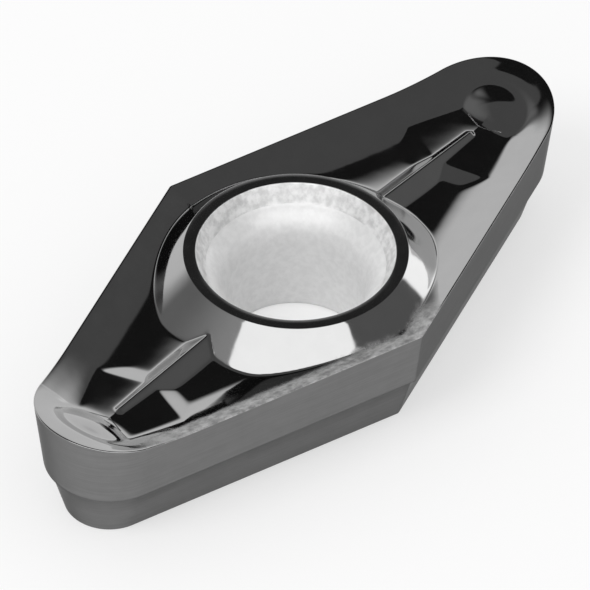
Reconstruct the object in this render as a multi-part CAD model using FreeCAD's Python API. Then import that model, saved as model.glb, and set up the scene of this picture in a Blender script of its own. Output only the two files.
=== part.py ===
import FreeCAD, Part
import math
import os

# Indexable carbide insert: a 35 degree rhombus with rounded noses, pressed and ground in one piece.
# Sizes are in millimetres and degrees. The base lies on z = 0 and the screw bore stands on the origin.
# The long diagonal runs along X, so the two noses point along +X and -X.

# Plan form, at the height of the nose tips
inscribed_circle = 12.7
nose_angle = 35.0
nose_radius = 3.0
corner_blunt = 0.25

# Heights over the seating base
nose_height = 5.56
edge_height = 4.92
step_height = 2.30

# Flank: a ground relief above the step and a steeper one below it
relief_angle = 7.0
step_width = 0.16
lower_relief_angle = 16.0

# The cutting edge is level up to this distance behind the nose's centre, and climbs from there to the tip
climb_setback = 1.64

# Rake face, measured inwards from the cutting edge: land, straight rake, hollow, rising floor
land_width = 0.06
rake_angle = 26.0
rake_length = 1.05
floor_distance = 2.60
floor_rise_angle = 7.0

# Raised ring round the screw hole
ring_height = 5.47
ring_outer_radius = 4.45
ring_inner_radius = 3.96
ring_cone_angle = 45.0

# Screw hole: bore, rounded seat and conical mouth
bore_diameter = 5.5
seat_depth = 2.3
seat_bulge = 0.16
mouth_angle = 62.0
mouth_depth = 0.75

# Spine along the long diagonal, broad where it leaves the ring and slender where it ends behind the nose's centre
spine_clearance = 0.35
spine_setback = 0.59
spine_start_drop = 0.33
spine_end_drop = 0.64
spine_crest_width = 0.12
spine_start_radius = 0.80
spine_end_radius = 0.50
spine_crest_angle = 55.0

# Broad low cross ribs behind the nose's centre, square to the cutting edges and falling a little towards them
rib_setback = 2.59
rib_radius = 1.30
rib_start_drop = 0.56
rib_fall_angle = 2.0
rib_reach = 2.6

# Dome on each nose, a little ahead of the nose's centre
dome_advance = 0.86
dome_half_length = 1.80
dome_radius = 1.60
dome_top_drop = 0.02
dome_tilt = 6.0

# Working values
HALF_ANGLE = math.radians(nose_angle / 2)
EDGE_TURN = 90.0 - nose_angle / 2
NOSE_CENTRE = (inscribed_circle / 2 - nose_radius) / math.sin(HALF_ANGLE)
NOSE_TIP = NOSE_CENTRE + nose_radius
NOSE_START = NOSE_CENTRE + nose_radius * math.sin(HALF_ANGLE)
LEVEL_EDGE_END = NOSE_CENTRE - climb_setback
HOLLOW_RADIUS = (floor_distance - rake_length) / math.sin(math.radians(rake_angle))
# Cutters reach this far past the metal, and stop this share short of the long diagonal
CLEAR = 1.0
NEARLY = 0.992
STRAIGHT_STATIONS = 3
ARC_STATIONS = 4


def vec(x, y, z):
    return FreeCAD.Vector(x, y, z)


def polar(centre_x, radius, angle, z):
    """A point at an angle round a centre that lies on the X axis."""
    turn = math.radians(angle)
    return vec(centre_x + radius * math.cos(turn), radius * math.sin(turn), z)


def half_turn(shape):
    """The same shape on the other side of the bore."""
    copy = shape.copy()
    copy.rotate(vec(0, 0, 0), vec(0, 0, 1), 180)
    return copy


def mirrored(shape):
    """The same shape across the long diagonal."""
    return shape.mirror(vec(0, 0, 0), vec(0, 1, 0))


def both_noses(shape):
    """A feature at both ends of the long diagonal."""
    return [shape, half_turn(shape)]


def all_edges(shape):
    """A feature on all four cutting edges."""
    return both_noses(shape) + both_noses(mirrored(shape))


def relief_inset(z):
    """How far the ground flank lies inside the plan form at height z."""
    return (nose_height - z) * math.tan(math.radians(relief_angle))


def outline(inset, z):
    """The closed plan outline, pulled in by the inset, at height z."""
    radius = nose_radius - inset
    corner_y = (inscribed_circle / 2 - inset - corner_blunt) / math.cos(HALF_ANGLE)
    corner_angles = (EDGE_TURN, 90.0, 180.0 - EDGE_TURN)
    corner = [vec(0, corner_y, 0) + polar(0, corner_blunt, angle, z) for angle in corner_angles]
    nose = [polar(NOSE_CENTRE, radius, angle, z) for angle in (-EDGE_TURN, 0.0, EDGE_TURN)]
    half = [
        Part.Arc(*nose).toShape(),
        Part.makeLine(nose[2], corner[0]),
        Part.Arc(*corner).toShape(),
        Part.makeLine(corner[2], vec(-nose[0].x, -nose[0].y, z)),
    ]
    return Part.Wire(half + [half_turn(edge) for edge in half])


def tapered(low_inset, low_z, high_inset, high_z):
    """A tapered prism of the plan form, with its straight flanks as true planes."""
    prism = Part.makeLoft([outline(low_inset, low_z), outline(high_inset, high_z)], True, True)
    planes = [side.findPlane() for side in prism.Faces]
    sides = [Part.Face(plane, side.OuterWire) if plane else side for plane, side in zip(planes, prism.Faces)]
    return Part.Solid(Part.Shell(sides))


def blank():
    """The rhombic prism with its two reliefs and the small step between them."""
    step_inset = relief_inset(step_height)
    under_inset = step_inset + step_width
    base_inset = under_inset + step_height * math.tan(math.radians(lower_relief_angle))
    upper = tapered(step_inset, step_height, 0, nose_height)
    return upper.fuse(tapered(base_inset, 0, under_inset, step_height))


def edge_level(x):
    """Height of the cutting edge at a distance along the long diagonal."""
    climb = max(0.0, x - LEVEL_EDGE_END) / (NOSE_TIP - LEVEL_EDGE_END)
    return edge_height + (nose_height - edge_height) * climb ** 2


def hollow_drop(distance):
    """Drop of the rake face's hollow below the cutting edge."""
    rake_drop = (rake_length - land_width) * math.tan(math.radians(rake_angle))
    start = HOLLOW_RADIUS * math.cos(math.radians(rake_angle))
    return rake_drop + math.sqrt(HOLLOW_RADIUS ** 2 - (floor_distance - distance) ** 2) - start


def rake_section(point, inward, width):
    """Closed section of what is ground away: land, straight rake, hollow, floor and open top."""
    hollow_end = min(floor_distance, width - land_width)
    hollow_middle = (rake_length + hollow_end) / 2
    floor_end = (width - hollow_end) * math.tan(math.radians(floor_rise_angle)) - hollow_drop(hollow_end)
    roof = nose_height + CLEAR - point.z

    def at(distance, rise):
        return point + inward * distance + vec(0, 0, rise)

    edge = at(land_width, 0)
    rake_end = at(rake_length, -hollow_drop(rake_length))
    floor_start = at(hollow_end, -hollow_drop(hollow_end))
    loop = [floor_start, at(width, floor_end), at(width, roof), at(-CLEAR, roof), at(-CLEAR, 0), edge, rake_end]
    arc = Part.Arc(rake_end, at(hollow_middle, -hollow_drop(hollow_middle)), floor_start).toShape()
    return Part.Wire([Part.makeLine(a, b) for a, b in zip(loop, loop[1:])] + [arc])


def straight_section(x):
    """Rake section on the straight edge, which ends just short of the long diagonal."""
    level = edge_level(x)
    reach = inscribed_circle / 2 - relief_inset(level)
    y = (reach - x * math.sin(HALF_ANGLE)) / math.cos(HALF_ANGLE)
    inward = vec(-math.sin(HALF_ANGLE), -math.cos(HALF_ANGLE), 0)
    return rake_section(vec(x, y, level), inward, NEARLY * y / math.cos(HALF_ANGLE))


def nose_section(angle):
    """Rake section on the nose arc, which ends just short of the arc's centre."""
    level = edge_level(NOSE_CENTRE + nose_radius * math.cos(math.radians(angle)))
    radius = nose_radius - relief_inset(level)
    return rake_section(polar(NOSE_CENTRE, radius, angle, level), polar(0, -1, angle, 0), NEARLY * radius)


def straight_cutter():
    """What is ground away beside one straight edge, from the blunt corner to the climbing part."""
    run = Part.makeLoft([straight_section(-CLEAR), straight_section(LEVEL_EDGE_END)], True, True)
    span = 2 * NOSE_TIP
    return run.common(Part.makeBox(span, 2 * span, span, vec(0, -span, 0)))


def nose_cutter():
    """What is ground away round one nose, as one smooth hollow that climbs to the tip."""
    step = (NOSE_START - LEVEL_EDGE_END) / STRAIGHT_STATIONS
    side = [straight_section(LEVEL_EDGE_END + i * step) for i in range(STRAIGHT_STATIONS)]
    arc = [nose_section(EDGE_TURN * (1 - i / ARC_STATIONS)) for i in range(ARC_STATIONS + 1)]
    first = side + arc
    return Part.makeLoft(first + [mirrored(section) for section in reversed(first[:-1])], True, False)


def diagonal_cutter():
    """Slot that clears the long diagonal between the cutters of its two sides."""
    width = 2 * (1 - NEARLY) * inscribed_circle
    length = 2 * NOSE_CENTRE + width
    floor = edge_height - hollow_drop(floor_distance)
    return Part.makeBox(length, width, nose_height, vec(-length / 2, -width / 2, floor))


def ring():
    """Conical ring round the screw hole, which the cutters leave standing."""
    spread = ring_height / math.tan(math.radians(ring_cone_angle))
    return Part.makeCone(ring_outer_radius + spread, ring_outer_radius, ring_height)


def screw_hole():
    """Bore, rounded seat for a screw head and conical mouth."""
    bore = bore_diameter / 2
    slope = math.tan(math.radians(mouth_angle))
    throat = ring_inner_radius - mouth_depth / slope
    throat_z = ring_height - mouth_depth
    seat_z = ring_height - seat_depth
    bulge = seat_bulge * (throat - bore)
    seat_middle = vec((throat + bore) / 2 - bulge, 0, (throat_z + seat_z) / 2 + bulge)
    top_z = ring_height + CLEAR
    loop = [vec(throat, 0, throat_z), vec(ring_inner_radius + CLEAR / slope, 0, top_z), vec(0, 0, top_z),
            vec(0, 0, -CLEAR), vec(bore, 0, -CLEAR), vec(bore, 0, seat_z)]
    seat = Part.Arc(loop[-1], seat_middle, loop[0]).toShape()
    profile = Part.Wire([Part.makeLine(a, b) for a, b in zip(loop, loop[1:])] + [seat])
    return Part.Face(profile).revolve(vec(0, 0, 0), vec(0, 0, 1), 360)


def spine_section(x, drop, radius):
    """Cross section of the spine: a narrow crest between two hollow flanks."""
    bend = math.radians(spine_crest_angle)
    crest = spine_crest_width / 2
    top = edge_height - drop
    foot = top - radius * (1 - math.cos(bend))
    spread = crest + radius * math.sin(bend)
    middle_y = spread - radius * math.sin(bend / 2)
    middle_z = foot + radius * (1 - math.cos(bend / 2))
    flank = [vec(x, crest, top), vec(x, middle_y, middle_z), vec(x, spread, foot)]
    other = [vec(x, -point.y, point.z) for point in reversed(flank)]
    loop = [flank[2], vec(x, spread, foot - CLEAR), vec(x, -spread, foot - CLEAR), other[0]]
    base = [Part.makeLine(a, b) for a, b in zip(loop, loop[1:])]
    sides = [Part.Arc(*flank).toShape(), Part.Arc(*other).toShape()]
    return Part.Wire([sides[0]] + base + [sides[1], Part.makeLine(other[2], flank[0])])


def spine():
    """Ridge on the long diagonal, from the ring towards the nose."""
    start = spine_section(ring_outer_radius + spine_clearance, spine_start_drop, spine_start_radius)
    end = spine_section(NOSE_CENTRE - spine_setback, spine_end_drop, spine_end_radius)
    return Part.makeLoft([start, end], True, True)


def rib():
    """Broad rib that leaves the spine square to the cutting edge and runs into the rake face."""
    root = vec(NOSE_CENTRE - rib_setback, 0, edge_height - rib_start_drop - rib_radius)
    fall = math.tan(math.radians(rib_fall_angle))
    outward = vec(math.sin(HALF_ANGLE), math.cos(HALF_ANGLE), -fall)
    behind = rib_radius * math.tan(HALF_ANGLE) + CLEAR
    round_bar = Part.makeCylinder(rib_radius, rib_reach + behind, root - outward * behind, outward)
    return round_bar.common(Part.makeBox(NOSE_TIP, inscribed_circle, nose_height))


def dome():
    """Egg-round chip former on the nose."""
    outer = Part.ArcOfEllipse(Part.Ellipse(vec(0, 0, 0), dome_half_length, dome_radius), 0, math.pi)
    chord = Part.makeLine(vec(-dome_half_length, 0, 0), vec(dome_half_length, 0, 0))
    solid = Part.Face(Part.Wire([outer.toShape(), chord])).revolve(vec(0, 0, 0), vec(1, 0, 0), 360)
    solid.rotate(vec(0, 0, 0), vec(0, 1, 0), -dome_tilt)
    centre = NOSE_CENTRE + dome_advance
    solid.translate(vec(centre, 0, edge_level(centre) - dome_top_drop - dome_radius))
    return solid


def insert_body():
    """The whole insert."""
    body = blank()
    for cutter in all_edges(straight_cutter()) + both_noses(nose_cutter()) + [diagonal_cutter()]:
        body = body.cut(cutter.cut(ring()))
    formers = both_noses(spine()) + all_edges(rib()) + both_noses(dome())
    return body.fuse(formers).cut(screw_hole()).removeSplitter()


os.makedirs("parts", exist_ok=True)
insert = insert_body()
insert.exportStep("parts/insert_body.step")
print("solids", len(insert.Solids), "volume", round(insert.Volume, 3), "valid", insert.isValid())
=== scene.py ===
"""Looks of a carbide cutting insert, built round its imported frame.

The insert is one closed mesh that stands for the CAD node. Its rake side is a height field over the plan form,
laid out in columns that run square to the cutting edge, so that the polished hollow, the ring, the spines, the
cross ribs and the domes keep clean reflections. Sizes are in millimetres until the mesh is made in metres.
"""

import logging
import math
from collections.abc import Iterable, Iterator
from dataclasses import dataclass, field, replace
from enum import Enum
from functools import cached_property, reduce
from itertools import chain

import bpy
import numpy as np
from mathutils import Matrix, Vector

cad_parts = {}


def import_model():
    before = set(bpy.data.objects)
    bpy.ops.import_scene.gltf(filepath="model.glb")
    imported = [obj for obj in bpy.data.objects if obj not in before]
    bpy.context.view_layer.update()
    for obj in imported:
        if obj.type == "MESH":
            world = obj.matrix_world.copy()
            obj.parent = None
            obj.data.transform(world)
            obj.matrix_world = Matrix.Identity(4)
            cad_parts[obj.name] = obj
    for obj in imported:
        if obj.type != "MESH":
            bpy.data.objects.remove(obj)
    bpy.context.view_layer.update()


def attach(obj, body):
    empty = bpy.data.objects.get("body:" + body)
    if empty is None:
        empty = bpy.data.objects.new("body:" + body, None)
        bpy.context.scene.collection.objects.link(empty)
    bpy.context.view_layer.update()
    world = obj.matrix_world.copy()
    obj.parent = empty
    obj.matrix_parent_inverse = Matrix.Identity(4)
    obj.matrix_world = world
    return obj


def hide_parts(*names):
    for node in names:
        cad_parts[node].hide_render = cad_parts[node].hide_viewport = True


LOG = logging.getLogger("insert")
MILLIMETRE = 0.001
NODE = "insert_body"
BODY = "root"
NEAR_ZERO = 1e-9
HAIR = 1e-6
NOISE_SPAN = (0.3, 0.7)
Socket = bpy.types.NodeSocket
Value = float | Socket
Array = np.ndarray
Span = tuple[float, float]
Triple = tuple[float, float, float]


class Quadrant(Enum):
    """Signs of X and Y for the four mirrored quarters of the insert."""

    RIGHT_BACK = (1, 1)
    LEFT_BACK = (-1, 1)
    LEFT_FRONT = (-1, -1)
    RIGHT_FRONT = (1, -1)


class Zone(Enum):
    """Surface zones of the insert, each with a finish of its own."""

    RAKE = 0
    RING = 1
    SEAT = 2
    FLANK = 3
    BASE = 4
    MOUTH = 5


class Station(Enum):
    """Parts of a quarter of the plan outline."""

    CORNER = 0
    STRAIGHT = 1
    NOSE = 2


def rise(angle: float) -> float:
    """Rise per length of a slope, from its angle in degrees."""
    return math.tan(math.radians(angle))


def eased(share: Array) -> Array:
    """Share between 0 and 1 with level ends, also where it starts outside them."""
    inside = np.clip(share, 0.0, 1.0)
    return inside ** 2 * (3 - 2 * inside)


def smooth_max(first: Array, second: Array, blend: float) -> Array:
    """The upper of two surfaces, with an inner corner rounded over the width of the blend."""
    return (first + second + np.sqrt((first - second) ** 2 + blend ** 2)) / 2


def add_object(name: str, data: bpy.types.ID) -> bpy.types.Object:
    """Makes an object and links it to the scene.

    Args:
        name: Name of the object.
        data: Its mesh, camera or lamp data.

    Returns:
        The linked object.
    """
    item = bpy.data.objects.new(name, data)
    bpy.context.scene.collection.objects.link(item)
    return item


@dataclass(frozen=True)
class PlanForm:
    """Plan outline, reliefs and cutting edge of the insert."""

    inscribed_circle: float = 12.7
    nose_angle: float = 35.0
    nose_radius: float = 3.0
    corner_blunt: float = 0.25
    nose_height: float = 5.56
    edge_height: float = 4.92
    step_height: float = 2.30
    relief_angle: float = 7.0
    step_width: float = 0.16
    lower_relief_angle: float = 16.0
    climb_setback: float = 1.64

    @property
    def half(self) -> float:
        """Half the nose angle in radians."""
        return math.radians(self.nose_angle / 2)

    @property
    def turn(self) -> float:
        """Angle of the outward normal of a straight edge in radians."""
        return math.pi / 2 - self.half

    @property
    def nose_centre(self) -> float:
        """Distance of the nose arc's centre along X."""
        return (self.inscribed_circle / 2 - self.nose_radius) / math.sin(self.half)

    @property
    def nose_tip(self) -> float:
        """Distance of the nose tip along X."""
        return self.nose_centre + self.nose_radius

    def level(self, x: Array) -> Array:
        """Height of the cutting edge.

        Args:
            x: Distances along the long diagonal.

        Returns:
            The edge height at each distance.
        """
        start = self.nose_centre - self.climb_setback
        climb = np.maximum(0.0, x - start) / (self.nose_tip - start)
        return self.edge_height + (self.nose_height - self.edge_height) * climb ** 2

    def inset(self, z: Array) -> Array:
        """How far the ground flank lies inside the plan form.

        Args:
            z: Heights over the base.

        Returns:
            The inset at each height, with the steeper relief below the step.
        """
        upper = (self.nose_height - z) * rise(self.relief_angle)
        below = np.maximum(0.0, self.step_height - z)
        at_step = (self.nose_height - self.step_height) * rise(self.relief_angle)
        lower = at_step + self.step_width + below * rise(self.lower_relief_angle)
        return np.where(z < self.step_height, lower, upper)

    def inset_at(self, z: float) -> float:
        """Inset of the flank at one height."""
        return float(self.inset(np.array(z)))

    def corner_centre(self, inset: Array | float) -> Array | float:
        """Y of the blunt corner's centre at an inset."""
        return (self.inscribed_circle / 2 - inset - self.corner_blunt) / math.cos(self.half)

    def outline(self, kinds: Array, values: Array,
                inset: Array) -> tuple[Array, Array]:
        """Points of a quarter of the outline.

        Args:
            kinds: Station kind of each column.
            values: Angle of an arc station, or the share of the straight run.
            inset: Inset of each column.

        Returns:
            X and Y of each column.
        """
        start = self.corner_blunt * math.sin(self.half)
        end = self.nose_centre + (self.nose_radius - inset) * math.sin(self.half)
        straight_x = start + values * (end - start)
        reach = self.inscribed_circle / 2 - inset
        straight_y = (reach - straight_x * math.sin(self.half)) / math.cos(self.half)
        radius = self.nose_radius - inset
        nose_x = self.nose_centre + radius * np.cos(values)
        nose_y = radius * np.sin(values)
        corner_x = self.corner_blunt * np.cos(values)
        corner_y = self.corner_centre(inset) + self.corner_blunt * np.sin(values)
        straight = kinds == Station.STRAIGHT.value
        nose = kinds == Station.NOSE.value
        x = np.where(straight, straight_x, np.where(nose, nose_x, corner_x))
        y = np.where(straight, straight_y, np.where(nose, nose_y, corner_y))
        return x, y


@dataclass(frozen=True)
class RakeFace:
    """Section of the rake side, measured inwards from the cutting edge."""

    land_width: float = 0.06
    rake_angle: float = 26.0
    rake_length: float = 1.05
    hollow_distance: float = 2.15
    hollow_angle: float = 12.0
    valley_distance: float = 2.50
    valley_angle: float = -1.0
    roof_distance: float = 4.20
    roof_angle: float = -12.5
    hone_radius: float = 0.022

    def drop(self, distance: Array) -> Array:
        """Depth of the rake face under the cutting edge.

        Args:
            distance: Distances inwards from the edge.

        Returns:
            The drop at each distance.
        """
        knots = np.array([self.land_width, self.rake_length, self.hollow_distance, self.valley_distance,
                          self.roof_distance, 2 * self.roof_distance])
        angles = np.array([self.rake_angle, self.rake_angle, self.hollow_angle, self.valley_angle,
                           self.roof_angle, self.roof_angle])
        slopes = np.tan(np.radians(angles))
        spans = np.diff(knots)
        depths = np.concatenate([[0.0], np.cumsum(spans * (slopes[:-1] + slopes[1:]) / 2)])
        place = np.clip(np.searchsorted(knots, distance) - 1, 0, len(spans) - 1)
        past = np.maximum(0.0, distance - knots[place])
        bend = (slopes[place + 1] - slopes[place]) / spans[place]
        return depths[place] + slopes[place] * past + bend * past ** 2 / 2


@dataclass(frozen=True)
class ScrewRing:
    """Raised ring round the screw hole, with its cone, crown, mouth, seat and bore."""

    height: float = 5.47
    outer_radius: float = 4.45
    inner_radius: float = 3.96
    cone_angle: float = 45.0
    bore_radius: float = 2.75
    seat_depth: float = 2.3
    seat_bulge: float = 0.16
    mouth_angle: float = 62.0
    mouth_depth: float = 0.75
    crown: float = 0.012
    edge_round: float = 0.035
    bore_chamfer: float = 0.08
    outer_round_points: int = 5
    crown_points: int = 9
    inner_round_points: int = 6
    mouth_points: int = 8
    seat_points: int = 13
    bore_shares: tuple[float, ...] = (0.02, 0.3, 0.6, 0.96, 1.0)

    def cone(self, radius: Array | float) -> Array | float:
        """Height of the outer cone at a distance from the bore's axis."""
        return self.height - (radius - self.outer_radius) * rise(self.cone_angle)

    def profile(self) -> list[tuple[float, float, Zone]]:
        """Meridian from the ring's outer edge over the crown and down the hole to the base.

        Returns:
            Radius, height and zone of each point.
        """
        slope = math.radians(self.cone_angle)
        mouth = math.radians(self.mouth_angle)
        points: list[tuple[float, float, Zone]] = []
        round_in = self.edge_round * math.tan(slope / 2)
        for share in np.linspace(0, 1, self.outer_round_points):
            angle = slope * (1 - share)
            radius = self.outer_radius - round_in + self.edge_round * math.sin(angle)
            points.append((radius, self.height - self.edge_round * (1 - math.cos(angle)), Zone.RING))
        outer = self.outer_radius - round_in
        mouth_in = self.edge_round * math.tan(mouth / 2)
        inner = self.inner_radius + mouth_in
        middle, half_width = (outer + inner) / 2, (outer - inner) / 2
        for share in np.linspace(0, 1, self.crown_points)[1:-1]:
            radius = outer + (inner - outer) * share
            bow = 1 - ((radius - middle) / half_width) ** 2
            points.append((radius, self.height + self.crown * bow, Zone.RING))
        for share in np.linspace(0, 1, self.inner_round_points):
            angle = mouth * share
            radius = inner - self.edge_round * math.sin(angle)
            points.append((radius, self.height - self.edge_round * (1 - math.cos(angle)), Zone.RING))
        throat = self.inner_radius - self.mouth_depth / math.tan(mouth)
        throat_z = self.height - self.mouth_depth
        last_radius, last_z, _ = points[-1]
        for share in np.linspace(0, 1, self.mouth_points)[1:]:
            radius = last_radius + (throat - last_radius) * share
            points.append((radius, last_z + (throat_z - last_z) * share, Zone.MOUTH))
        seat_z = self.height - self.seat_depth
        bulge = self.seat_bulge * (throat - self.bore_radius)
        for share in np.linspace(0, 1, self.seat_points)[1:]:
            bow = 4 * share * (1 - share) * bulge
            radius = throat + (self.bore_radius - throat) * share - bow
            points.append((radius, throat_z + (seat_z - throat_z) * share + bow, Zone.SEAT))
        for share in self.bore_shares:
            points.append((self.bore_radius, seat_z + (self.bore_chamfer - seat_z) * share, Zone.SEAT))
        points.append((self.bore_radius + self.bore_chamfer, 0.0, Zone.BASE))
        return points


@dataclass(frozen=True)
class Spine:
    """Narrow round-topped ridge on the long diagonal."""

    start: float = 4.80
    end: float = 10.55
    start_drop: float = 0.24
    end_drop: float = 0.45
    crest_radius: float = 0.05
    side_angle: float = 37.0
    tip_bend: float = 3.5

    def height(self, x: Array, y: Array, edge: float) -> Array:
        """Height of the spine.

        Args:
            x: Distances along the long diagonal.
            y: Distances from it.
            edge: Height of the level cutting edge.

        Returns:
            The spine's height, far below the rake face where it has no metal.
        """
        share = (x - self.start) / (self.end - self.start)
        drop = self.start_drop + (self.end_drop - self.start_drop) * share
        fall = rise(self.side_angle) * (np.hypot(y, self.crest_radius) - self.crest_radius)
        past = np.maximum(0.0, x - self.end)
        return edge - drop - fall - self.tip_bend * past ** 2


@dataclass(frozen=True)
class CrossRib:
    """Step square to the cutting edge: a short slope towards the screw and a low roof towards the nose."""

    position: float = 8.55
    start_drop: float = 0.56
    ridge_angle: float = 9.0
    eaves_angle: float = 1.0
    eaves_distance: float = 0.60
    crest_radius: float = 0.06
    screw_side_angle: float = 18.0
    nose_side_angle: float = 0.5

    def height(self, x: Array, y: Array, edge: float, half: float) -> Array:
        """Height of the step on the side of positive Y.

        Args:
            x: Distances along the long diagonal.
            y: Distances from it.
            edge: Height of the level cutting edge.
            half: Half the nose angle in radians.

        Returns:
            The step's height, below the rake face beside it.
        """
        along = (x - self.position) * math.sin(half) + y * math.cos(half)
        across = (x - self.position) * math.cos(half) - y * math.sin(half)
        ridge, eaves = rise(self.ridge_angle), rise(self.eaves_angle)
        screw_side, nose_side = rise(self.screw_side_angle), rise(self.nose_side_angle)
        outwards = np.where(across > 0, y, along)
        flattened = 1 - np.exp(-np.maximum(outwards, 0.0) / self.eaves_distance)
        crest = edge - self.start_drop - eaves * outwards - (ridge - eaves) * self.eaves_distance * flattened
        rounding = np.hypot(across, self.crest_radius) - self.crest_radius
        return crest - (screw_side + nose_side) / 2 * rounding + (screw_side - nose_side) / 2 * across


@dataclass(frozen=True)
class NoseDome:
    """Low round chip former on the nose, which rises towards the tip."""

    apex: float = 12.85
    top: float = 5.01
    length_radius: float = 1.6
    width_radius: float = 4.2

    def height(self, x: Array, y: Array) -> Array:
        """Height of the dome at a distance along the long diagonal and from it."""
        return self.top - (x - self.apex) ** 2 / (2 * self.length_radius) - y ** 2 / (2 * self.width_radius)


@dataclass(frozen=True)
class ChipBreaker:
    """The whole rake side as one height field."""

    plan: PlanForm = field(default_factory=PlanForm)
    rake: RakeFace = field(default_factory=RakeFace)
    ring: ScrewRing = field(default_factory=ScrewRing)
    spine: Spine = field(default_factory=Spine)
    rib: CrossRib = field(default_factory=CrossRib)
    dome: NoseDome = field(default_factory=NoseDome)
    tip_easing: float = 0.40
    fade_start: float = 0.6
    fade_end: float = 2.2
    cone_blend: float = 0.05
    spine_blend: float = 0.03
    rib_blend: float = 0.05
    dome_blend: float = 0.18
    land_blend: float = 0.12

    def floor(self, level: Array, distance: Array, toward_tip: Array) -> Array:
        """Height of the rake face by itself.

        Args:
            level: Height of the cutting edge that each point belongs to.
            distance: Distance of each point inwards from that edge.
            toward_tip: From 0 on the straight edges to 1 at the nose tip, where the rake face is flattest.

        Returns:
            The height. The climb of the edge and the flatter rake of the tip fade out towards the middle.
        """
        edge = self.plan.edge_height
        fade = 1 - eased((distance - self.fade_start) / (self.fade_end - self.fade_start))
        from_centre = eased((self.plan.nose_radius - distance) / (self.plan.nose_radius - self.fade_end))
        easing = self.tip_easing * toward_tip * from_centre
        return edge + (level - edge) * fade - self.rake.drop(distance) * (1 - easing)

    def height(self, x: Array, y: Array, level: Array, distance: Array,
               toward_tip: Array) -> Array:
        """Height of the rake side.

        Args:
            x: Distances along the long diagonal.
            y: Distances from it.
            level: Height of the cutting edge that each point belongs to.
            distance: Distance of each point inwards from that edge.
            toward_tip: From 0 on the straight edges to 1 at the nose tip.

        Returns:
            The blended height at each point.
        """
        edge = self.plan.edge_height
        floor = self.floor(level, distance, toward_tip)
        surface = smooth_max(floor, self.rib.height(x, y, edge, self.plan.half), self.rib_blend)
        surface = smooth_max(surface, self.spine.height(x, y, edge), self.spine_blend)
        surface = smooth_max(surface, self.dome.height(x, y), self.dome_blend)
        blended = smooth_max(surface, self.ring.cone(np.hypot(x, y)), self.cone_blend)
        near_edge = np.clip((distance - self.rake.land_width) / self.land_blend, 0.0, 1.0)
        return floor + (blended - floor) * near_edge


Row = tuple[Array, Array, Array | float, Zone]


@dataclass
class Columns:
    """Columns of a quarter, square to the cutting edge, from the blunt corner round to the nose tip."""

    plan: PlanForm
    circle: float
    kinds: Array
    values: Array
    x: Array
    y: Array
    level: Array

    def __post_init__(self) -> None:
        """Works out directions, widths and inner ends, which lie exactly on the lines where quarters meet."""
        corner, straight, self.nose = (self.kinds == station.value for station in Station)
        turn = np.where(straight, self.plan.turn, self.values)
        self.step_x, self.step_y = -np.cos(turn), -np.sin(turn)
        with np.errstate(divide="ignore", invalid="ignore"):
            to_diagonal = np.where(self.step_y < -NEAR_ZERO, -self.y / self.step_y, np.inf)
            to_valley = np.where((self.step_x < -NEAR_ZERO) & ~self.nose, -self.x / self.step_x, np.inf)
            middle = -(self.x * self.step_x + self.y * self.step_y)
            inside = self.circle ** 2 - (self.x ** 2 + self.y ** 2 - middle ** 2)
            to_circle = np.where(inside > NEAR_ZERO, middle - np.sqrt(np.maximum(inside, 0.0)), np.inf)
        width = np.minimum(np.minimum(to_diagonal, to_valley), to_circle)
        width = np.where(self.nose, np.hypot(self.x - self.plan.nose_centre, self.y), width)
        self.width = np.where(corner, self.plan.corner_blunt, width)
        end_x, end_y = self.inside(self.width)
        self.on_ring = straight & (np.abs(np.hypot(end_x, end_y) - self.circle) < HAIR)
        end_x = np.where(corner | (np.abs(end_x) < NEAR_ZERO), 0.0, end_x)
        self.end_x = np.where(self.nose, self.plan.nose_centre, end_x)
        self.end_y = np.where(self.nose | (np.abs(end_y) < NEAR_ZERO), 0.0, end_y)
        self.toward_tip = np.where(self.nose, np.cos(self.values * math.pi / 2 / self.plan.turn) ** 2, 0.0)

    def inside(self, distance: Array | float) -> tuple[Array, Array]:
        """X and Y at a distance inwards from the edge."""
        return self.x + self.step_x * distance, self.y + self.step_y * distance

    def outline(self, inset: Array | float) -> tuple[Array, Array]:
        """X and Y of the plan outline at an inset."""
        return self.plan.outline(self.kinds, self.values, np.broadcast_to(inset, self.x.shape))


def grid_of(rows: Iterable[Row]) -> tuple[Array, list[Zone]]:
    """Stacks rows of points.

    Args:
        rows: X, Y, height and zone of each row.

    Returns:
        Points as rows by columns by three, and the zone of the faces that lead to each row.
    """
    kept = list(rows)
    points = [np.stack([x, y, np.broadcast_to(z, x.shape)], axis=1) for x, y, z, _ in kept]
    return np.stack(points), [zone for *_, zone in kept]


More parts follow.
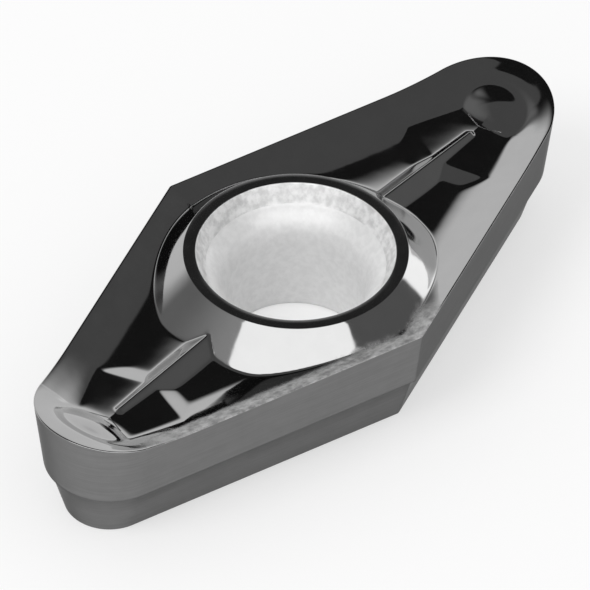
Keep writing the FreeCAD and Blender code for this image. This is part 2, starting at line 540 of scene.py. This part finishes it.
@dataclass
class InsertMesh:
    """Closed mesh of the insert: one quarter as a grid of rows and columns, mirrored four ways.

    The rows of the lower flank and at the step are given by height, there over the step, and by extra inset.
    """

    shape: ChipBreaker = field(default_factory=ChipBreaker)
    inner_circle: float = 5.30
    base_circle: float = 3.90
    corner_columns: int = 5
    valley_columns: int = 8
    ring_columns: int = 88
    spine_columns: int = 104
    nose_columns: int = 64
    rake_rows: int = 48
    inner_crowding: float = 0.55
    hone_rows: int = 5
    cone_rows: int = 9
    base_rim: float = 0.05
    base_shares: tuple[float, ...] = (0.0, 0.5, 0.98, 1.0)
    lower_flank: tuple[Span, ...] = (
        (0.02, 0.018), (0.05, 0.0), (0.10, 0.0), (1.2, 0.0), (2.26, 0.0))
    under_step: tuple[Span, ...] = ((-0.01, -0.01), (0.0, -0.04))
    over_step: tuple[Span, ...] = ((0.0, 0.05), (0.003, 0.012), (0.015, 0.0))
    flank_shares: tuple[float, ...] = (0.03, 0.5, 0.97, 1.0)
    land_margins: Span = (0.008, 0.012)
    weld: float = 1e-5

    @cached_property
    def columns(self) -> Columns:
        """Lays out the columns of a quarter.

        Returns:
            The columns.
        """
        plan, circle = self.shape.plan, self.inner_circle
        reach = plan.inscribed_circle / 2 - plan.inset_at(plan.edge_height)
        sine, cosine = math.sin(plan.half), math.cos(plan.half)
        start_x = plan.corner_blunt * sine
        valley = np.linspace(start_x, sine * (reach - circle * cosine), self.valley_columns + 1)[:-1]
        turn = np.linspace(math.pi / 2, 0.0, self.ring_columns + 1)
        foot_x, foot_y = circle * np.cos(turn), circle * np.sin(turn)
        ring = foot_x + sine * (reach - foot_x * sine - foot_y * cosine)
        nose_start = plan.nose_centre + plan.nose_radius * sine
        spine = np.linspace(ring[-1], nose_start, self.spine_columns + 1)[1:]
        straight = np.concatenate([valley, ring, spine])
        corner = np.linspace(math.pi / 2, plan.turn, self.corner_columns + 1)[:-1]
        nose = np.linspace(plan.turn, 0.0, self.nose_columns + 1)[1:]
        kinds = np.repeat([station.value for station in Station], [len(corner), len(straight), len(nose)])
        nose_x = plan.nose_centre + plan.nose_radius * np.cos(nose)
        station_x = np.concatenate([np.zeros(len(corner)), straight, nose_x])
        level = plan.level(station_x)
        inset = plan.inset(level)
        end_x = plan.nose_centre + (plan.nose_radius - inset) * sine
        share = (station_x - start_x) / (end_x - start_x)
        values = np.concatenate([corner, share[len(corner):len(corner) + len(straight)], nose])
        return Columns(plan, circle, kinds, values, *plan.outline(kinds, values, inset), level)

    def base_rows(self) -> Iterator[Row]:
        """Rows of the base, from its inner line to its rim.

        Returns:
            The rows in order.
        """
        plan, circle, columns = self.shape.plan, self.base_circle, self.columns
        base_inset = plan.inset_at(0.0)
        top_corner = plan.corner_centre(plan.inset_at(plan.edge_height))
        stretch_x = (plan.nose_centre - circle) / (plan.nose_centre - self.inner_circle)
        stretch_y = (plan.corner_centre(base_inset) - circle) / (top_corner - self.inner_circle)
        along = circle + (columns.end_x - self.inner_circle) * stretch_x
        across = circle + (columns.end_y - self.inner_circle) * stretch_y
        on_valley = (columns.end_x == 0.0) & ~columns.on_ring
        scale = circle / self.inner_circle
        inner_x = np.where(columns.on_ring, columns.end_x * scale, np.where(on_valley, 0.0, along))
        inner_y = np.where(columns.on_ring, columns.end_y * scale, np.where(on_valley, across, 0.0))
        rim_x, rim_y = columns.outline(base_inset + self.base_rim)
        for share in self.base_shares:
            yield inner_x + (rim_x - inner_x) * share, inner_y + (rim_y - inner_y) * share, 0.0, Zone.BASE

    def flank_rows(self) -> Iterator[Row]:
        """Rows of the flank, from the base over the step up to the hone.

        Returns:
            The rows in order.
        """
        plan, columns = self.shape.plan, self.columns
        step = plan.step_height
        under, over = plan.inset_at(step - HAIR), plan.inset_at(step)
        rows = [(z, plan.inset_at(z) + extra) for z, extra in self.lower_flank]
        rows += [(step + lift, under + extra) for lift, extra in self.under_step]
        rows += [(step + lift, over + extra) for lift, extra in self.over_step]
        foot = rows[-1][0]
        top = columns.level - self.shape.rake.hone_radius * (1 + math.sin(math.radians(plan.relief_angle)))
        upper = [foot + (top - foot) * share for share in self.flank_shares]
        for z, inset in rows + [(z, plan.inset(z)) for z in upper]:
            yield *columns.outline(inset), z, Zone.FLANK

    def rake_side_rows(self) -> Iterator[Row]:
        """Rows of the hone, the land and the rake side, from the flank to the columns' inner ends.

        Returns:
            The rows in order.
        """
        shape, rake, columns = self.shape, self.shape.rake, self.columns
        level = columns.level
        relief, hone = math.radians(shape.plan.relief_angle), rake.hone_radius
        hone_centre = hone * (1 + math.sin(relief)) / math.cos(relief)
        for share in np.linspace(0, 1, self.hone_rows + 1)[1:]:
            angle = (math.pi / 2 + relief) * share - relief
            place = columns.inside(hone_centre - hone * math.cos(angle))
            yield *place, level - hone + hone * math.sin(angle), Zone.RAKE
        before, after = self.land_margins
        start = rake.land_width + after
        for distance in ((hone_centre + rake.land_width) / 2, rake.land_width - before, start):
            drop = rake.drop(np.array(distance)) * (1 - shape.tip_easing * columns.toward_tip)
            yield *columns.inside(distance), level - drop, Zone.RAKE
        for share in np.linspace(0, 1, self.rake_rows + 1)[1:]:
            distance = start + (columns.width - start) * (share + self.inner_crowding * share * (1 - share))
            x, y = columns.inside(distance) if share < 1 else (columns.end_x, columns.end_y)
            yield x, y, shape.height(x, y, level, distance, columns.toward_tip), Zone.RAKE

    def hole_rows(self, outer: Array, inner: Array) -> Iterator[Row]:
        """Rows of the cone, the crown and the screw hole, for the columns that meet the ring.

        Args:
            outer: Last points of those columns on the rake side.
            inner: First points of those columns on the base.

        Returns:
            The rows in order.
        """
        ring = self.shape.ring
        turn = np.arctan2(outer[:, 1], outer[:, 0])
        cosine = np.where(outer[:, 0] == 0.0, 0.0, np.cos(turn))
        sine = np.where(outer[:, 1] == 0.0, 0.0, np.sin(turn))
        yield *outer.T, Zone.RING
        profile = ring.profile()
        rim_radius = profile[0][0]
        for share in np.linspace(0, 1, self.cone_rows + 1)[1:-1]:
            radius = self.inner_circle + (rim_radius - self.inner_circle) * share
            x, y = radius * cosine, radius * sine
            spine = self.shape.spine.height(x, y, self.shape.plan.edge_height)
            yield x, y, smooth_max(spine, ring.cone(radius), self.shape.cone_blend * (1 - share)), Zone.RAKE
        for place, (radius, z, zone) in enumerate(profile):
            yield radius * cosine, radius * sine, z, zone if place else Zone.RAKE
        yield *inner.T, Zone.BASE

    @staticmethod
    def faces_of(grid: Array, zones: list[Zone], offset: int) -> tuple[Array, Array]:
        """Quads between neighbouring rows and columns, in the order that makes them face outwards.

        Args:
            grid: Points as rows by columns by three.
            zones: Zone of the faces that lead to each row.
            offset: Number of points before this grid's.

        Returns:
            Quads as indices, and the zone value of each.
        """
        rows, columns = grid.shape[:2]
        index = np.arange(rows * columns).reshape(rows, columns) + offset
        corners = [index[:-1, :-1], index[1:, :-1], index[1:, 1:], index[:-1, 1:]]
        values = np.repeat([zone.value for zone in zones[1:]], columns - 1)
        return np.stack(corners, axis=-1).reshape(-1, 4), values

    def build(self, name: str) -> bpy.types.Object:
        """Makes the closed mesh.

        Args:
            name: Name of the object.

        Returns:
            The object, with one material index per zone.
        """
        columns = self.columns
        grid, zones = grid_of(chain(self.base_rows(), self.flank_rows(), self.rake_side_rows()))
        grid[-1, columns.nose, 2] = grid[-1, np.flatnonzero(~columns.nose)[-1], 2]
        hole, hole_zones = grid_of(self.hole_rows(grid[-1, columns.on_ring], grid[0, columns.on_ring]))
        points = np.concatenate([grid.reshape(-1, 3), hole.reshape(-1, 3)])
        first, first_zone = self.faces_of(grid, zones, 0)
        second, second_zone = self.faces_of(hole, hole_zones, grid.shape[0] * grid.shape[1])
        quads = np.concatenate([first, second])
        all_points, all_quads = [], []
        for count, quadrant in enumerate(Quadrant):
            sign_x, sign_y = quadrant.value
            all_points.append(points * (sign_x, sign_y, 1.0))
            all_quads.append((quads if sign_x * sign_y > 0 else quads[:, ::-1]) + count * len(points))
        cloud = np.concatenate(all_points)
        keys = np.round(cloud / self.weld).astype(np.int64)
        _, kept, mapping = np.unique(keys, axis=0, return_index=True, return_inverse=True)
        faces = mapping.reshape(-1)[np.concatenate(all_quads)]
        face_zones = np.tile(np.concatenate([first_zone, second_zone]), len(Quadrant))
        return self.to_object(name, cloud[kept] * MILLIMETRE, faces, face_zones)

    @staticmethod
    def to_object(name: str, points: Array, faces: Array, zones: Array) -> bpy.types.Object:
        """Turns welded points and quads into a Blender object.

        Args:
            name: Name of the object.
            points: Points in metres.
            faces: Quads as indices, some with a repeated corner.
            zones: Zone value of each quad.

        Returns:
            The linked object with smooth shading.
        """
        loops, kept_zones = [], []
        for quad, zone in zip(faces.tolist(), zones.tolist()):
            corners = [corner for place, corner in enumerate(quad) if corner != quad[place - 1]]
            if len(set(corners)) > 2:
                loops.append(corners)
                kept_zones.append(zone)
        mesh = bpy.data.meshes.new(name)
        mesh.from_pydata(points.tolist(), [], loops)
        mesh.polygons.foreach_set("material_index", kept_zones)
        mesh.polygons.foreach_set("use_smooth", [True] * len(loops))
        mesh.update()
        return add_object(name, mesh)


class NodeSheet:
    """Short calls for building a node tree."""

    def __init__(self, tree: bpy.types.NodeTree) -> None:
        """Clears the tree of a material or a world and keeps it."""
        self.tree = tree
        tree.nodes.clear()

    def add(self, kind: str, **settings: object) -> bpy.types.Node:
        """Adds a node.

        Args:
            kind: Node type.
            settings: Attributes of the node.

        Returns:
            The new node.
        """
        node = self.tree.nodes.new(kind)
        for name, value in settings.items():
            setattr(node, name, value)
        return node

    def feed(self, target: Socket, source: object) -> None:
        """Links a socket to another, or sets its value.

        Args:
            target: Input socket.
            source: Output socket or plain value.
        """
        if isinstance(source, Socket):
            self.tree.links.new(source, target)
        else:
            target.default_value = source

    def result(self, kind: str, output: str | int, inputs: dict[str | int, object], **settings: object) -> Socket:
        """Adds a node and feeds it.

        Args:
            kind: Node type.
            output: Name or place of the output that is wanted.
            inputs: Socket or value for each input, by name or place.
            settings: Attributes of the node.

        Returns:
            The output socket.
        """
        node = self.add(kind, **settings)
        for place, value in inputs.items():
            self.feed(node.inputs[place], value)
        return node.outputs[output]

    def math(self, operation: str, *values: Value) -> Socket:
        """Result of a math operation on sockets or numbers."""
        return self.result("ShaderNodeMath", 0, dict(enumerate(values)), operation=operation)

    def product(self, *values: Value) -> Value:
        """Product of several sockets or numbers."""
        return reduce(lambda first, second: self.math("MULTIPLY", first, second), values)

    def dot(self, source: Socket, direction: Triple) -> Socket:
        """Dot product of a vector socket with a fixed direction."""
        return self.result("ShaderNodeVectorMath", "Value", {0: source, 1: direction}, operation="DOT_PRODUCT")

    def ramp(self, value: Socket, low: float, high: Value, start: float = 0.0, end: float = 1.0,
             kind: str = "SMOOTHSTEP") -> Socket:
        """Maps the range from low to high of a value to the range from start to end."""
        inputs = {"Value": value, "From Min": low, "From Max": high, "To Min": start, "To Max": end}
        return self.result("ShaderNodeMapRange", "Result", inputs, interpolation_type=kind)

    def fade_out(self, value: Socket, span: tuple[float, Value]) -> Socket:
        """Eased step from 1 at the start of a span to 0 at its end."""
        return self.ramp(value, *span, 1.0, 0.0)

    def mottle(self, noise: Socket, start: float, end: float) -> Socket:
        """Maps the usual range of a noise to a range of values."""
        return self.ramp(noise, *NOISE_SPAN, start, end)

    def mix(self, share: Value, first: Value, second: Value) -> Socket:
        """Mixes two numbers by the share of the second one."""
        return self.result("ShaderNodeMix", "Result", {"Factor": share, "A": first, "B": second}, data_type="FLOAT")

    def noise(self, vector: Socket, scale: float, detail: float, roughness: float = 0.55) -> Socket:
        """Noise with a frequency per metre, a number of octaves and the strength of the finer ones."""
        inputs = {"Vector": vector, "Scale": scale, "Detail": detail, "Roughness": roughness}
        return self.result("ShaderNodeTexNoise", "Fac", inputs)

    def ray_marks(self) -> tuple[Socket, Socket]:
        """1 for rays from the camera, and 1 for rays from a mirror or through glass."""
        path = self.add("ShaderNodeLightPath").outputs
        return path["Is Camera Ray"], self.math("MAXIMUM", path["Is Glossy Ray"], path["Is Transmission Ray"])


@dataclass(frozen=True)
class DullStrip:
    """Unpolished, mottled strip along the front edge, between the ring and the flank.

    Depths are in millimetres inwards from the edge, and lengths along the long diagonal.
    """

    tone: Span = (0.16, 0.52)
    mottle_scale: float = 2600.0
    mottle_detail: float = 5.0
    mottle_roughness: float = 0.7
    edge_distance: float = 6.27
    half_angle: float = 17.5
    depth: Span = (0.95, 1.35)
    length_left: Span = (-12.6, -10.0)
    length_right: Span = (0.8, 2.6)
    ragged: float = 0.5
    cover: float = 0.85
    roughness: float = 0.55

    def mask(self, sheet: NodeSheet, place: Socket) -> tuple[Socket, Socket]:
        """Works out where the strip lies and how light it is.

        Args:
            sheet: Node tree of the material.
            place: Object coordinates in metres.

        Returns:
            The share of the surface that the strip covers, and its tone.
        """
        half = math.radians(self.half_angle)
        per_metre = 1 / MILLIMETRE
        x = sheet.dot(place, (per_metre, 0.0, 0.0))
        inwards_x = sheet.math("MULTIPLY", sheet.math("ABSOLUTE", x), -math.sin(half))
        inwards_y = sheet.dot(place, (0.0, math.cos(half) * per_metre, 0.0))
        depth = sheet.math("ADD", sheet.math("ADD", inwards_x, inwards_y), self.edge_distance)
        mottle = sheet.noise(place, self.mottle_scale, self.mottle_detail, self.mottle_roughness)
        wander = sheet.math("MULTIPLY_ADD", mottle, self.ragged, depth)
        cover = sheet.product(sheet.ramp(wander, *self.depth, self.cover, 0.0), sheet.ramp(x, *self.length_left),
                              sheet.fade_out(x, self.length_right))
        return cover, sheet.mottle(mottle, *self.tone)


@dataclass(frozen=True)
class CarbideFinish:
    """Cemented carbide with one surface treatment. Heights are in millimetres and scales per metre."""

    name: str
    tone: float
    tone_spread: float
    roughness: float
    roughness_spread: float
    grain_scale: float
    grain_height: float
    metallic: float = 1.0
    edge_tint: float = 1.0
    wave_scale: float = 0.0
    wave_height: float = 0.0
    line_scale: float = 0.0
    line_height: float = 0.0
    line_tone: float = 0.0
    line_stretch: Triple = (0.02, 0.02, 1.0)
    patch_share: float = 0.12
    patch_detail: float = 4.0
    grain_detail: float = 3.0
    line_detail: float = 2.0
    wave_detail: float = 1.0
    dull: DullStrip | None = None

    def material(self) -> bpy.types.Material:
        """Builds the node material.

        Returns:
            The material.
        """
        item = bpy.data.materials.new(self.name)
        item.use_nodes = True
        sheet = NodeSheet(item.node_tree)
        output = sheet.add("ShaderNodeOutputMaterial")
        metallic: Value = self.metallic
        place = sheet.add("ShaderNodeTexCoord").outputs["Object"]
        patch = sheet.noise(place, self.grain_scale * self.patch_share, self.patch_detail)
        grain = sheet.noise(place, self.grain_scale, self.grain_detail)
        tone = sheet.mottle(patch, self.tone - self.tone_spread, self.tone + self.tone_spread)
        rough = sheet.mottle(patch, self.roughness - self.roughness_spread, self.roughness + self.roughness_spread)
        height = sheet.math("MULTIPLY", grain, self.grain_height)
        if self.wave_height:
            waves = sheet.noise(place, self.wave_scale, self.wave_detail)
            height = sheet.math("MULTIPLY_ADD", waves, self.wave_height, height)
        if self.line_height:
            level = sheet.result("ShaderNodeMapping", "Vector", {"Vector": place, "Scale": self.line_stretch})
            lines = sheet.noise(level, self.line_scale, self.line_detail)
            height = sheet.math("MULTIPLY_ADD", lines, self.line_height, height)
            tone = sheet.math("ADD", tone, sheet.mottle(lines, -self.line_tone, self.line_tone))
        if self.dull:
            cover, dull_tone = self.dull.mask(sheet, place)
            tone = sheet.mix(cover, tone, dull_tone)
            rough = sheet.mix(cover, rough, self.dull.roughness)
            metallic = sheet.mix(cover, metallic, 0.0)
        colour = sheet.result("ShaderNodeCombineColor", 0, {"Red": tone, "Green": tone, "Blue": tone})
        relief = {"Height": height, "Distance": MILLIMETRE, "Strength": 1.0}
        surface = sheet.result("ShaderNodeBsdfPrincipled", 0, {
            "Specular Tint": (self.edge_tint, self.edge_tint, self.edge_tint, 1.0),
            "Base Color": colour,
            "Roughness": rough,
            "Metallic": metallic,
            "Normal": sheet.result("ShaderNodeBump", "Normal", relief),
        })
        sheet.feed(output.inputs["Surface"], surface)
        return item


POLISHED = CarbideFinish(
    name="carbide_polished", tone=0.40, tone_spread=0.006, roughness=0.07, roughness_spread=0.015,
    grain_scale=9000.0, grain_height=0.00002, wave_scale=1300.0, wave_height=0.003, dull=DullStrip())
RING_TOP = replace(
    POLISHED, name="carbide_ring", tone_spread=0.01, roughness=0.09, roughness_spread=0.02,
    grain_height=0.00003, metallic=0.98, wave_height=0.002, dull=None)
PRESSED = CarbideFinish(
    name="carbide_pressed", tone=0.80, tone_spread=0.04, roughness=0.42, roughness_spread=0.05,
    grain_scale=12000.0, grain_height=0.0012, metallic=0.25, patch_share=0.30)
MOUTH_SKIN = replace(
    PRESSED, name="carbide_mouth", tone=0.70, tone_spread=0.13, grain_height=0.0014, patch_share=0.25)
GROUND = CarbideFinish(
    name="carbide_ground", tone=0.20, tone_spread=0.006, roughness=0.31, roughness_spread=0.02,
    grain_scale=12000.0, grain_height=0.0006, metallic=0.8, edge_tint=0.25,
    line_scale=14000.0, line_height=0.0005, line_tone=0.010)
LAPPED = CarbideFinish(
    name="carbide_lapped", tone=0.28, tone_spread=0.02, roughness=0.35, roughness_spread=0.05,
    grain_scale=12000.0, grain_height=0.0008)


@dataclass
class CarbideInsert:
    """The whole insert: one piece of carbide with a finish on each zone."""

    mesh: InsertMesh = field(default_factory=InsertMesh)
    finishes: dict[Zone, CarbideFinish] = field(default_factory=lambda: {
        Zone.RAKE: POLISHED,
        Zone.RING: RING_TOP,
        Zone.SEAT: PRESSED,
        Zone.FLANK: GROUND,
        Zone.BASE: LAPPED,
        Zone.MOUTH: MOUTH_SKIN,
    })

    def build(self) -> bpy.types.Object:
        """Makes the piece, dresses it and lets it stand for the CAD node.

        Returns:
            The piece.
        """
        piece = self.mesh.build("carbide_insert")
        for zone in Zone:
            piece.data.materials.append(self.finishes[zone].material())
        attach(piece, BODY)
        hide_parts(NODE)
        return piece


@dataclass(frozen=True)
class ViewPoint:
    """The photograph's long-lens view of the insert."""

    azimuth: float = -49.5235
    elevation: float = 43.3011
    roll: float = 0.5441
    distance: float = 921.0
    pixels_per_mm: float = 25.4033
    shift_right: float = -0.0186
    shift_up: float = -1.3338
    edge_height: float = 4.92
    frame_pixels: float = 590.0
    sensor: float = 36.0
    clip: Span = (0.05, 5.0)

    def axes(self) -> tuple[Vector, Vector, Vector]:
        """Right, up and back directions before the roll.

        Returns:
            The three unit vectors.
        """
        azimuth, elevation = math.radians(self.azimuth), math.radians(self.elevation)
        back = Vector((math.sin(azimuth) * math.cos(elevation), -math.cos(azimuth) * math.cos(elevation),
                       math.sin(elevation)))
        right = Vector((math.cos(azimuth), math.sin(azimuth), 0.0))
        return right, back.cross(right), back

    def build(self) -> bpy.types.Object:
        """Adds the camera and makes it the scene's.

        Returns:
            The camera object.
        """
        right, up, back = self.axes()
        place = right * self.shift_right + up * self.shift_up + back * self.distance
        place += Vector((0.0, 0.0, self.edge_height))
        roll = math.radians(self.roll)
        across = right * math.cos(roll) + up * math.sin(roll)
        upward = up * math.cos(roll) - right * math.sin(roll)
        data = bpy.data.cameras.new("view")
        data.sensor_fit = "HORIZONTAL"
        data.sensor_width = self.sensor
        data.lens = self.pixels_per_mm * self.distance / self.frame_pixels * self.sensor
        data.clip_start, data.clip_end = self.clip
        item = add_object("view", data)
        turn = Matrix((across, upward, back)).transposed().to_4x4()
        item.matrix_world = Matrix.Translation(place * MILLIMETRE) @ turn
        bpy.context.scene.camera = item
        return item


@dataclass(frozen=True)
class Reflections:
    """Surroundings that the polished faces mirror.

    Azimuths are in degrees from straight away to the right, and elevations in degrees over the horizon. Each span
    is where something fades in or out.
    """

    backdrop: float = 1.0
    backdrop_left: Span = (-74.0, -54.0)
    backdrop_right: Span = (62.0, 65.0)
    backdrop_lean_span: Span = (10.0, 30.0)
    backdrop_lean: float = 9.0
    backdrop_fade_start: float = 22.0
    backdrop_fade_ends: Span = (56.0, 41.0)
    backdrop_fade_span: Span = (-55.0, -25.0)
    ceiling: float = 0.12
    flag: float = 0.014
    flag_edge: Triple = (0.936, -0.060, -0.352)
    flag_edge_span: Span = (-0.015, 0.015)
    flag_lean: Span = (0.45, 0.50)
    side_left: Span = (0.50, 0.24)
    side_left_span: Span = (-125.0, -76.0)
    side_right: float = 0.17
    side_parting: Span = (-1.0, 1.0)
    side_span: Span = (56.0, 66.0)
    side_top: Span = (40.0, 56.0)
    strip_light: float = 2.1
    strip_azimuth: Span = (34.0, 46.0)
    strip_top: Span = (14.0, 20.0)
    soft_box: float = 2.05
    soft_box_azimuth: Span = (126.0, 128.0)
    soft_box_top: Span = (52.0, 54.0)
    horizon: Span = (-0.01, 0.0)

    def tone(self, sheet: NodeSheet, away: Socket, sideways: Socket, upward: Socket) -> Socket:
        """Builds the tone of a direction.

        Args:
            sheet: Node tree of the world.
            away: Part of the direction that points away from the camera.
            sideways: Part that points to the right.
            upward: Part that points up.

        Returns:
            The strength seen in that direction.
        """
        degrees = 180 / math.pi
        azimuth = sheet.math("MULTIPLY", sheet.math("ARCTAN2", sideways, away), degrees)
        elevation = sheet.math("MULTIPLY", sheet.math("ARCSINE", upward), degrees)
        off_axis = sheet.math("ABSOLUTE", azimuth)
        under_edge = sheet.math("MULTIPLY", away, self.flag_edge[0])
        under_edge = sheet.math("MULTIPLY_ADD", sideways, self.flag_edge[1], under_edge)
        under_edge = sheet.math("MULTIPLY_ADD", upward, self.flag_edge[2], under_edge)
        flag = sheet.product(sheet.ramp(under_edge, *self.flag_edge_span), sheet.fade_out(sideways, self.flag_lean))
        tone = sheet.ramp(flag, 0.0, 1.0, self.ceiling, self.flag)
        left = sheet.ramp(azimuth, *self.side_left_span, *self.side_left)
        side = sheet.mix(sheet.ramp(azimuth, *self.side_parting), left, self.side_right)
        beside = sheet.product(sheet.ramp(off_axis, *self.side_span), sheet.fade_out(elevation, self.side_top))
        leaning = sheet.ramp(elevation, *self.backdrop_lean_span, 0.0, -self.backdrop_lean, kind="LINEAR")
        from_left = sheet.math("ADD", azimuth, leaning)
        fade_end = sheet.ramp(azimuth, *self.backdrop_fade_span, *self.backdrop_fade_ends)
        right_end = sheet.fade_out(azimuth, self.backdrop_right)
        front = sheet.product(sheet.ramp(from_left, *self.backdrop_left), right_end,
                              sheet.fade_out(elevation, (self.backdrop_fade_start, fade_end)))
        strip = sheet.product(sheet.ramp(azimuth, *self.strip_azimuth), right_end,
                              sheet.fade_out(elevation, self.strip_top))
        box = sheet.product(sheet.ramp(off_axis, *self.soft_box_azimuth), sheet.fade_out(elevation, self.soft_box_top))
        below = sheet.fade_out(upward, self.horizon)
        for share, brightness in ((beside, side), (front, self.backdrop), (strip, self.strip_light),
                                  (box, self.soft_box), (below, self.backdrop)):
            tone = sheet.mix(share, tone, brightness)
        return tone


@dataclass(frozen=True)
class Studio:
    """Pale floor, one soft lamp, and the surroundings with a white backdrop."""

    view: ViewPoint = field(default_factory=ViewPoint)
    mirrored: Reflections = field(default_factory=Reflections)
    floor_radius: float = 0.10
    floor_corners: int = 96
    floor_tone: float = 0.93
    floor_lift: float = 0.55
    plain_level: float = 0.80
    key_power: float = 0.55
    key_size: float = 0.22
    key_place: Triple = (-0.26, 0.04, 0.33)

    def floor(self) -> None:
        """Adds the round pale floor."""
        turns = [2 * math.pi * corner / self.floor_corners for corner in range(self.floor_corners)]
        ring = [(self.floor_radius * math.cos(turn), self.floor_radius * math.sin(turn), 0.0) for turn in turns]
        mesh = bpy.data.meshes.new("floor")
        mesh.from_pydata(ring, [], [list(range(self.floor_corners))])
        paint = bpy.data.materials.new("floor_white")
        paint.use_nodes = True
        sheet = NodeSheet(paint.node_tree)
        colour = (self.floor_tone, self.floor_tone, self.floor_tone, 1.0)
        share = sheet.math("MULTIPLY", sheet.math("MAXIMUM", *sheet.ray_marks()), self.floor_lift)
        lit = sheet.result("ShaderNodeBsdfDiffuse", 0, {"Color": colour})
        seen = sheet.result("ShaderNodeMixShader", 0, {0: share, 1: lit, 2: sheet.result("ShaderNodeEmission", 0, {})})
        sheet.feed(sheet.add("ShaderNodeOutputMaterial").inputs["Surface"], seen)
        mesh.materials.append(paint)
        add_object("floor", mesh)

    def world(self) -> None:
        """Builds the surroundings: white for the view, plain as light, and detailed in reflections."""
        _, _, back = self.view.axes()
        level = Vector((back.x, back.y, 0.0)).normalized()
        item = bpy.data.worlds.new("studio")
        item.use_nodes = True
        sheet = NodeSheet(item.node_tree)
        output = sheet.add("ShaderNodeOutputWorld")
        direction = sheet.add("ShaderNodeTexCoord").outputs["Generated"]
        away = sheet.dot(direction, (-level.x, -level.y, 0.0))
        sideways = sheet.dot(direction, (-level.y, level.x, 0.0))
        upward = sheet.dot(direction, (0.0, 0.0, 1.0))
        seen, mirror = sheet.ray_marks()
        strength = sheet.mix(mirror, self.plain_level, self.mirrored.tone(sheet, away, sideways, upward))
        strength = sheet.mix(seen, strength, self.mirrored.backdrop)
        light = sheet.result("ShaderNodeBackground", 0, {"Color": (1.0, 1.0, 1.0, 1.0), "Strength": strength})
        sheet.feed(output.inputs["Surface"], light)
        bpy.context.scene.world = item

    def key(self) -> None:
        """Adds one soft lamp that gives the floor its shadow."""
        data = bpy.data.lights.new("key", "AREA")
        data.shape = "DISK"
        data.size = self.key_size
        data.energy = self.key_power
        item = add_object("key", data)
        place = Vector(self.key_place)
        item.matrix_world = Matrix.Translation(place) @ place.to_track_quat("Z", "Y").to_matrix().to_4x4()
        item.visible_glossy = False

    def build(self) -> None:
        """Sets up the floor, the surroundings, the lamp and the camera."""
        self.floor()
        self.world()
        self.key()
        self.view.build()
        bpy.context.scene.view_settings.view_transform = "Standard"


def main() -> None:
    """Builds the insert and its studio, and notes the sizes."""
    logging.basicConfig(level=logging.INFO, format="%(message)s")
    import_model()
    Studio().build()
    piece = CarbideInsert().build()
    triangles = sum(len(face.vertices) - 2 for face in piece.data.polygons)
    LOG.info("%s: %d points, %d triangles", piece.name, len(piece.data.vertices), triangles)


if __name__ == "__main__":
    main()
